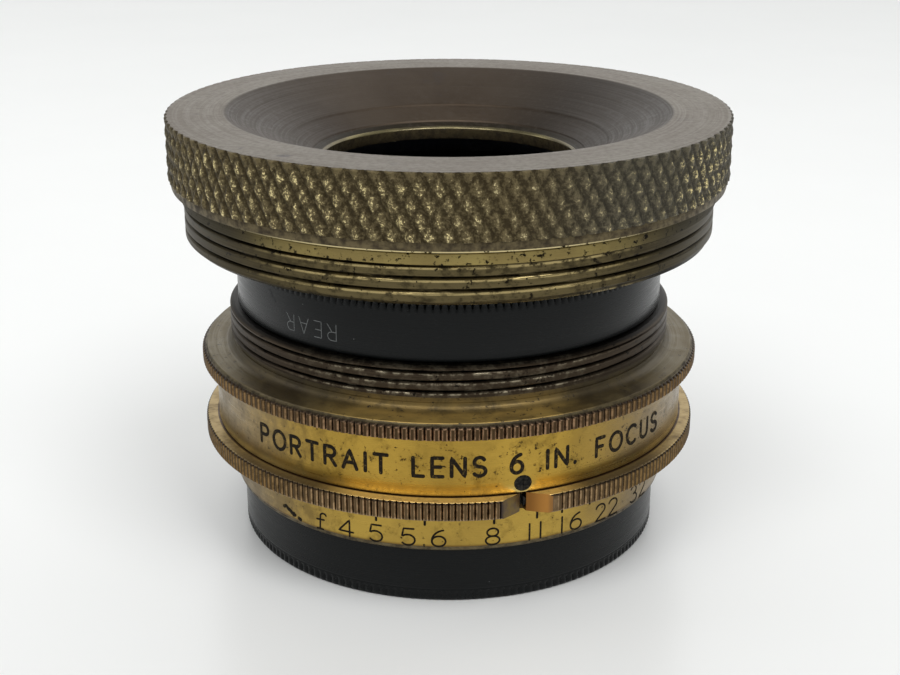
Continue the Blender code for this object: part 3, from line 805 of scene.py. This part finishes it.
def build_adapter():
    """The dished ring: a turned body with the outside thread, and a diamond-knurled band round it."""
    top, rim, crest = ADAPTER_TOP, ADAPTER_R, ADAPTER_THREAD_R
    band_r = rim - 0.7
    bore_r, bore_top = BACK_R + 0.4, BACK_TOP + 0.3
    thread_top, thread_bottom = ADAPTER_BOTTOM + 4.05, ADAPTER_BOTTOM + 0.45
    steps = math.ceil((thread_top - thread_bottom) / ADAPTER_PITCH * 12)
    outline = Outline()
    outline.rounded([
        (HOLE_LIP_R, top - 5.32), (15.1, top - 4.93), (15.2, top - 4.78), (17.55, top - 3.5),
        (17.75, top - 3.3), (21.1, top - 1.72), (rim - 6.44, top), (band_r, top),
    ], 0.12)
    outline.rounded([
        (band_r, top - 6.6), (rim - 0.36, top - 6.68), (rim - 0.35, top - 7.56),
        (rim - 0.68, top - 7.6), (rim - 0.7, top - 7.8), (rim - 1.1, top - 7.84),
        (rim - 1.45, top - 8.02), (rim - 1.38, top - 8.1), (rim - 1.4, top - 9.2),
        (rim - 1.75, top - 9.27), (crest, thread_top),
    ], 0.06)
    outline.even((crest, thread_bottom), steps, "thread")
    outline.closed([
        (crest - 0.5, ADAPTER_BOTTOM), (bore_r, ADAPTER_BOTTOM), (bore_r, bore_top), (21.0, bore_top),
        (HOLE_R, 41.35), (HOLE_R, 42.6),
    ], 0.08)

    def finish(radius, height):
        if radius < HOLE_LIP_R - 0.05 and height > 41.3:
            return "gold" if height > 42.0 else "brown"
        if radius > crest - 0.4 and top - 9.24 < height < top - 7.57:
            return "gold"
        if height < thread_top + 0.3 and radius > crest - 1.0:
            return "olive_thread"
        if radius > band_r - 0.1 and height < top - 1.0:
            return "brown"
        if height < bore_top + 0.1 or (height < 41.4 and radius < 21.5):
            return "matt_black"
        return "satin"

    looks = ["satin", "brown", "gold", "olive_thread", "matt_black"]
    reliefs = {"thread": thread_limit(crest, 0.42, ADAPTER_PITCH, ADAPTER_START, 0.3)}
    body = turned("adapter_ring_turned", outline, "adapter", looks, reliefs=reliefs, finish=finish)

    around, period, samples = 109, 3.1, 4
    row_step = period / 2 / samples
    knurl_top, knurl_bottom = top - 0.18, top - 6.62
    rows = [(band_r - 0.8, top - 0.4), (band_r - 0.05, top - 0.004),
            (rim - 0.28, top - 0.004, "diamond"), (rim - 0.1, top - 0.1, "diamond")]
    steps = round((knurl_top - knurl_bottom) / row_step)
    rows += straight((rim, knurl_top), (rim, knurl_bottom), steps, "diamond")
    rows += [(rim - 0.2, top - 6.7, "diamond"), (rim - 0.36, top - 6.76), (band_r - 0.8, top - 6.72)]
    knurl = turned(
        "adapter_ring_knurl", rows, "adapter", ["satin", "knurl"], around * 2 * samples,
        {"diamond": diamond_limit(rim, 0.42, around, period, 7)},
        lambda r, z: "satin" if z > top - 0.05 else "knurl",
    )
    for piece in (body, knurl):
        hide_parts("adapter_ring")


def build_back_cell():
    """The screwed cell with its pointed grooves, the word scratched on it and a gouge beside that."""
    outer, spigot = BACK_R, BACK_R - 1.6
    teeth, knurl_start = 190, 32.2
    knurl_full = knurl_start + 1.0
    lip_bottom, thread_top = 36.0, 26.6
    thread_steps = math.ceil((BACK_SHOULDER - BACK_BOTTOM) / THREAD_PITCH * 8)
    outline = Outline()
    outline.rounded([
        (POCKET_R, lip_bottom), (LIP_R, lip_bottom), (LIP_R, BACK_TOP - 0.6), (LIP_R + 0.5, BACK_TOP),
        (outer - 0.5, BACK_TOP), (outer, BACK_TOP - 0.5),
    ], 0.1)
    outline.even((outer, knurl_full), 5, "knurl")
    outline.even((outer, knurl_start), 5, "knurl")
    outline.rounded([
        (outer, knurl_start - 0.04), (outer, BACK_SHOULDER), (spigot, BACK_SHOULDER),
        (spigot, thread_top),
    ], 0.12)
    outline.even((spigot, BACK_BOTTOM + 0.4), thread_steps, "thread")
    outline.closed([(spigot - 0.4, BACK_BOTTOM), (POCKET_R, BACK_BOTTOM)], 0.08)
    reliefs = {
        "knurl": groove_limit(outer, 0.36, teeth, knurl_start, 0.75),
        "thread": thread_limit(spigot, 0.45, THREAD_PITCH),
    }

    def finish(radius, height):
        return "matt_black" if radius < POCKET_R + 0.1 and height < BACK_TOP - 0.7 else "enamel"

    piece = turned(
        "back_cell_turned", outline, "back_cell", ["enamel", "matt_black"], teeth * 4, reliefs, finish
    )
    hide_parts("back_cell_housing")
    scratched = engrave(
        "back_cell_scratched_mark", layout("REAR", 1.75, 0.75), outer, 30.0, -36.4, 0.07, "back_cell",
        "scratch", 0.004, True,
    )
    gouge = engrave(
        "back_cell_gouge", [[(0.0, 1.1), (0.35, 0.55), (0.9, 0.0)]], outer, 30.7, -51.0, 0.22,
        "back_cell", "matt_black", 0.004,
    )


def build_barrel():
    """The barrel with its neck thread and the slot for the drive screw, and its knurled flange."""
    thread_bottom = 23.62
    half_slot = 0.75
    slot_top, slot_bottom = DRIVE_HEIGHT + half_slot, DRIVE_HEIGHT - half_slot
    slot_start, slot_end = -21.6, 56.8
    neck_bore_r, iris_bore_r = 22.7, 17.0
    iris_seat, cell_seat = 17.6, 20.6
    edge_r, band_r = 27.9, 27.4
    thread_steps = math.ceil((BARREL_TOP - 0.3 - thread_bottom) / THREAD_PITCH * 12)
    outline = Outline()
    outline.rounded([
        (neck_bore_r, BARREL_TOP), (NECK_R - 0.45, BARREL_TOP), (NECK_R, BARREL_TOP - 0.4)], 0.06)
    outline.even((NECK_R, thread_bottom), thread_steps, "thread")
    outline += [(24.55, 23.5), (24.6, 23.3), (24.62, 23.0), (24.75, 22.95), (24.8, 22.7), (24.95, 22.5),
                (25.2, 22.32), (25.5, 22.18), (FILLET_R, FLANGE_FACE)]
    outline.rounded([
        (edge_r - 0.15, FLANGE_FACE - 0.02), (edge_r, FLANGE_FACE - 0.3),
        (edge_r, FLANGE_BOTTOM + 0.12), (edge_r - 0.1, FLANGE_BOTTOM), (WALL_R, FLANGE_BOTTOM),
        (WALL_R, BARREL_STEP), (SLEEVE_R, BARREL_STEP), (SLEEVE_R, slot_top),
    ], 0.09)
    outer_top = len(outline) - 1
    outline.append((SLEEVE_R, slot_bottom))
    outline.rounded([
        (SLEEVE_R, 6.95), (SLEEVE_R - 0.12, 6.85), (SLEEVE_R - 0.15, 6.55),
        (SLEEVE_R - 0.4, BARREL_BOTTOM), (CHAMBER_R, BARREL_BOTTOM), (CHAMBER_R, slot_bottom),
    ], 0.07)
    inner_bottom = len(outline) - 1
    outline += [(CHAMBER_R, slot_top), (CHAMBER_R, iris_seat), (iris_bore_r, iris_seat),
                (iris_bore_r, cell_seat), (neck_bore_r, cell_seat)]
    window = ((outer_top, outer_top + 1), (inner_bottom + 1, inner_bottom), (slot_start, slot_end))

    def finish(radius, height):
        if radius < neck_bore_r + 0.1 or (radius < SLEEVE_R - 0.3 and height < BARREL_BOTTOM + 0.05):
            return "matt_black"
        if height > thread_bottom and radius < NECK_R + 0.05:
            return "neck_thread"
        if height > FLANGE_FACE - 0.5:
            return "flange" if radius < edge_r - 0.12 else "brown"
        if height > BARREL_STEP - 0.2 and radius > WALL_R - 0.2:
            return "wall"
        return "brown" if height < SCALE_BOTTOM else "scale"

    looks = ["neck_thread", "flange", "wall", "scale", "matt_black", "brown"]
    reliefs = {"thread": thread_limit(NECK_R, 0.42, THREAD_PITCH, NECK_START)}
    body = turned("barrel_turned", outline, "barrel", looks, COLUMNS, reliefs, finish, window)

    rim, teeth = BARREL_R, 220
    band = corners([
        (band_r, 21.6), (edge_r + 0.05, FLANGE_FACE - 0.3), (rim, FLANGE_FACE - 0.58),
        (rim, FLANGE_BOTTOM + 0.1), (rim - 0.12, FLANGE_BOTTOM - 0.01), (band_r, FLANGE_BOTTOM + 0.1),
    ], 0.06)
    band = [(*point, "knurl") if point[0] > edge_r else point for point in band]
    knurl = turned(
        "barrel_flange_knurl", band, "barrel", ["flange_knurl", "brown"], teeth * 8,
        {"knurl": knurl_limit(rim, KNURL_DEPTH, teeth, 0.75)},
        lambda r, z: "brown" if z > FLANGE_FACE - 0.35 else "flange_knurl",
    )
    for piece in (body, knurl):
        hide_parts("barrel_body")


def build_engraving():
    """The wall's generic wording, the stop scale with its marks, and a dirty scrawl beside it."""
    wording = engrave(
        "barrel_wording", layout("PORTRAIT LENS 6 IN. FOCUS", 2.05, 0.86), WALL_R, 15.8, 4.5, 0.4,
        "barrel", "ink",
    )
    digit_base, digit_height, stretch = 6.97, 1.9, 1.3
    digits = (
        ("f", -32.8), ("4", -25.6), ("5", -17.8), ("5", -9.8), (".", -5.9), ("6", -2.4), ("8", 10.5),
        ("1", 19.7), ("1", 22.6), ("1", 28.5), ("6", 32.6), ("2", 40.6), ("2", 45.2), ("3", 54.4),
        ("2", 59.2),
    )
    strokes = []
    for letter, azimuth in digits:
        shift = math.radians(azimuth) * SLEEVE_R
        for stroke in layout(letter, digit_height, 0.0):
            strokes.append([(x * stretch + shift, y) for x, y in stroke])
    numbers = engrave("scale_numbers", strokes, SLEEVE_R, digit_base, 0.0, 0.21, "barrel", "ink")
    mark_bottom, mark_top = 9.42, 11.2
    marks = []
    for azimuth in (-17.6, -5.7, 10.8, 21.6, 28.4, 36.8, 52.8):
        x = math.radians(azimuth) * SLEEVE_R
        marks.append([(x, mark_bottom - digit_base), (x, mark_top - digit_base)])
    ticks = engrave("scale_marks", marks, SLEEVE_R, digit_base, 0.0, 0.26, "barrel", "ink")
    scrawl = [[(-1.1, 0.95), (-0.7, 1.15), (-0.35, 0.85), (0.1, 0.75), (0.45, 0.42), (0.75, 0.5)],
              [(-0.2, 0.9), (0.25, 0.55), (0.6, 0.62)], [(1.25, 0.32), (1.6, 0.2)]]
    smudge = engrave("scale_dirt_mark", scrawl, SLEEVE_R, digit_base, -43.0, 0.42, "barrel", "ink")


def build_iris_ring():
    """The knurled control ring, with plain facets and a half-round nick at its V notch."""
    teeth, samples = 265, 8
    rim, bore = RING_R, SLEEVE_R + 0.15
    valley = rim - NOTCH_DEPTH
    columns = np.arange(teeth * samples) * 360.0 / (teeth * samples)
    left, right = INDEX_AZIMUTH - NOTCH_HALF, INDEX_AZIMUTH + NOTCH_HALF
    for exact in (left, INDEX_AZIMUTH - NICK_HALF, INDEX_AZIMUTH + NICK_HALF, right):
        columns[np.abs(columns - exact).argmin()] = exact
    beads = knurl_limit(rim, KNURL_DEPTH, teeth, 0.75)

    def limit(azimuth, height):
        sideways = np.abs(azimuth - INDEX_AZIMUTH)
        facet = valley + (rim - valley) * (sideways - NICK_HALF) / (NOTCH_HALF - NICK_HALF)
        nick = valley - 0.55 * np.sqrt(np.clip(1.0 - (sideways / NICK_HALF) ** 2, 0.0, 1.0)) - 0.1
        notch = np.where(sideways < NICK_HALF, nick, facet)
        plain = (azimuth > left) & (azimuth < right + 1.3)
        return np.minimum(np.where(plain, rim - 0.04, beads(azimuth, height)), notch)

    rows = corners([
        (bore, RING_TOP), (rim - 0.2, RING_TOP), (rim, RING_TOP - 0.22), (rim, RING_BOTTOM + 0.2),
        (rim - 0.18, RING_BOTTOM), (bore, RING_BOTTOM), (bore, RING_TOP),
    ], 0.07)[:-1]
    rows = [(*point, "rim") if point[0] > bore + 0.2 else point for point in rows]
    looks = ["ring_top", "ring_knurl", "facet"]
    piece = turned(
        "iris_ring_turned", rows, "iris_control", looks, columns, {"rim": limit},
        lambda r, z: "ring_top" if z > RING_TOP - 0.05 else "ring_knurl",
    )
    for polygon in piece.data.polygons:
        x, y, _ = polygon.center
        azimuth = math.degrees(math.atan2(x, -y))
        outward = abs(polygon.normal.z) < 0.5 and math.hypot(x, y) / MM > bore + 0.2
        if outward and left - 0.1 < azimuth < right + 0.1:
            polygon.material_index = looks.index("facet")
    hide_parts("iris_control_ring")


def build_front_cell():
    """The screwed cell the lens stands on, knurled at its foot, with its coned lip undermost."""
    outer, spigot = FRONT_R, FRONT_R - 2.55
    teeth, knurl_top = 180, 1.25
    lip_top = 2.0
    thread_steps = math.ceil((FRONT_TOP - FRONT_SHOULDER) / THREAD_PITCH * 8)
    outline = Outline()
    outline.rounded([
        (POCKET_R, FRONT_TOP), (spigot - 0.4, FRONT_TOP), (spigot, FRONT_TOP - 0.4)], 0.08)
    outline.even((spigot, FRONT_SHOULDER + 0.5), thread_steps, "thread")
    outline.rounded([
        (spigot, FRONT_SHOULDER), (outer - 0.12, FRONT_SHOULDER), (outer, FRONT_SHOULDER - 0.15),
        (outer, knurl_top + 0.25), (outer - 0.05, knurl_top + 0.12), (outer, knurl_top),
    ], 0.08)
    outline.even((outer, 0.3), 4, "knurl")
    outline += [(outer - 0.12, 0.12, "knurl"), (outer - 0.32, 0.0, "knurl")]
    outline.closed([
        (22.4, 0.0), (21.7, 0.35), (21.0, 0.7), (20.2, 0.72), (LIP_R, 1.05), (LIP_R, lip_top),
        (POCKET_R, lip_top),
    ], 0.07)
    reliefs = {
        "knurl": knurl_limit(outer, 0.16, teeth),
        "thread": thread_limit(spigot, 0.45, THREAD_PITCH),
    }

    def finish(radius, height):
        return "matt_black" if radius < POCKET_R + 0.1 and height > lip_top - 0.1 else "enamel"

    piece = turned(
        "front_cell_turned", outline, "front_cell", ["enamel", "matt_black"], teeth * 4, reliefs, finish
    )
    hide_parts("front_cell_housing")


def dome(edge, height, sag, steps=10):
    """Rows from the axis out to the rim of a lens surface; a positive sag bulges upward."""
    curve = (edge ** 2 + sag ** 2) / (2 * abs(sag))
    rows = [(0.02, height + sag)]
    for i in range(1, steps + 1):
        radius = edge * i / steps
        rise = math.sqrt(curve ** 2 - radius ** 2) - math.sqrt(curve ** 2 - edge ** 2)
        rows.append((radius, height + math.copysign(rise, sag)))
    return rows


def build_glass(node, body, bottom, top, bottom_sag, top_sag):
    """One polished element, with a ground and blackened edge."""
    edge = GLASS_R - 1.2
    rows = dome(edge, top, top_sag)
    rows += corners([(edge, top), (GLASS_R, top), (GLASS_R, bottom), (edge, bottom)], 0.15)[1:-1]
    rows += dome(edge, bottom, bottom_sag)[::-1]
    piece = turned(
        node + "_polished", rows, body, ["glass", "matt_black"], 96, None,
        lambda r, z: "matt_black" if r > GLASS_R - 0.1 else "glass",
    )
    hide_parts(node)


def build_stop_screw():
    """The screw set in the barrel wall: a low black head with a narrow upright driver slot."""
    low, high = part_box("stop_screw")
    middle = (low.z + high.z) / 2 / MM
    azimuth = math.radians(16.35)
    head_r, crown, root = 0.95, 0.12, -0.6
    slot_half, slot_floor = 0.07, 0.02
    out = np.array([math.sin(azimuth), -math.cos(azimuth), 0.0])
    across = np.array([math.cos(azimuth), math.sin(azimuth), 0.0])
    up = np.array([0.0, 0.0, 1.0])
    half = [0.985, 0.93, 0.82, 0.66, 0.46, 0.25, slot_half / head_r + 0.01]
    sections = [(-head_r * x, crown * math.sqrt(1 - x * x)) for x in half]
    sections += [(-slot_half, slot_floor), (slot_half, slot_floor)]
    sections += [(-x, lift) for x, lift in sections[-3::-1]]
    points, faces = [], []
    for x, lift in sections:
        reach = 0.93 * math.sqrt(head_r ** 2 - x ** 2)
        loop = [(-reach, root), (-reach, 0.0), (-0.82 * reach, 0.7 * lift), (0.0, lift),
                (0.82 * reach, 0.7 * lift), (reach, 0.0), (reach, root)]
        points += [(out * (WALL_R + rise) + across * x + up * (middle + z)) * MM for z, rise in loop]
    size, last = len(loop), len(sections) - 1
    for section in range(last):
        for step in range(size):
            a, b = section * size + step, section * size + (step + 1) % size
            faces.append([a, a + size, b + size, b])
    faces += [list(range(size)), [last * size + i for i in range(size)][::-1]]
    piece = mesh_object("stop_screw_head", points, faces, "barrel", ["screw"])
    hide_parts("stop_screw")


def finish_inner_nodes():
    """Give the CAD nodes that stay in view their materials."""
    looks = {"iris_drive_screw": "screw"}
    for node in ("iris_cup", "iris_cam_ring", "iris_retaining_ring", "back_spacer_ring",
                 "back_retaining_ring", "front_spacer_ring", "front_retaining_ring"):
        looks[node] = "matt_black"
    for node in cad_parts:
        if node.startswith("iris_blade_"):
            looks[node] = "blued"
    for node, look in looks.items():
        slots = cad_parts[node].data.materials
        slots.clear()
        slots.append(finishes[look])


# ---------------------------------------------------------------- stage

LENS_MIDDLE = (0.0, 0.0, 0.025)         # where the lights aim, in metres


def build_floor():
    """A pale table, its top at the height the lens stands on."""
    half, thick = 4.0, 0.01
    xy = [(-half, -half), (half, -half), (half, half), (-half, half)]
    points = [(x, y, z) for z in (-thick, 0.0) for x, y in xy]
    mesh = bpy.data.meshes.new("floor")
    mesh.from_pydata(points, [], [
        (3, 2, 1, 0), (4, 5, 6, 7), (0, 1, 5, 4), (1, 2, 6, 5), (2, 3, 7, 6), (3, 0, 4, 7)])
    look = Look("white_table")
    table = look.noise(0.02, 3.0).mix((0.84, 0.845, 0.84), (0.88, 0.885, 0.88))
    mesh.materials.append(look.finish(table, 0.3))
    add_object("floor", mesh)


def add_light(name, place, size, power, colour=(1.0, 1.0, 1.0)):
    """An area light aimed at the middle of the lens."""
    data = bpy.data.lights.new(name, "AREA")
    data.shape = "RECTANGLE"
    data.size, data.size_y = size
    data.energy = power
    data.color = colour
    light = add_object(name, data)
    light.location = place
    direction = Vector(LENS_MIDDLE) - Vector(place)
    light.rotation_euler = direction.to_track_quat("-Z", "Y").to_euler()


def build_lights():
    add_light("key_back", (0.28, 1.25, 0.78), (2.6, 1.2), 10.0)
    add_light("front_left", (-0.4, -0.66, 1.25), (0.6, 0.9), 6.5)
    add_light("front_right", (0.47, -0.62, 1.25), (0.6, 0.9), 8.5)
    add_light("fill_left", (-1.45, 0.35, 0.95), (1.0, 0.8), 3.4, (0.97, 0.98, 1.0))
    world = bpy.data.worlds.new("room")
    world.use_nodes = True
    background = world.node_tree.nodes["Background"]
    background.inputs["Color"].default_value = (0.97, 0.99, 0.97, 1.0)
    background.inputs["Strength"].default_value = 0.36
    bpy.context.scene.world = world
    bpy.context.scene.view_settings.view_transform = "Standard"


def build_camera():
    """The photograph's view: from in front and above, 20 degrees down."""
    data = bpy.data.cameras.new("camera")
    data.sensor_width = 36.0
    data.lens = 59.68
    data.shift_x = 0.0013
    data.clip_start = 0.01
    camera = add_object("camera", data)
    camera.location = (0.0, -0.1632, 0.0807)
    camera.rotation_euler = (math.radians(90.0 - 20.11), 0.0, 0.0)
    bpy.context.scene.camera = camera


build_adapter()
build_back_cell()
build_barrel()
build_engraving()
build_iris_ring()
build_front_cell()
build_stop_screw()
build_glass("front_glass_outer", "front_optics", 2.2, 3.8, -1.5, 1.4)
build_glass("front_glass_inner", "front_optics", 6.8, 9.2, 0.8, -0.7)
build_glass("back_glass_outer", "back_optics", 34.2, 35.8, -1.5, 1.5)
build_glass("back_glass_inner", "back_optics", 27.2, 29.6, 0.7, -0.8)
finish_inner_nodes()
build_floor()
build_lights()
build_camera()
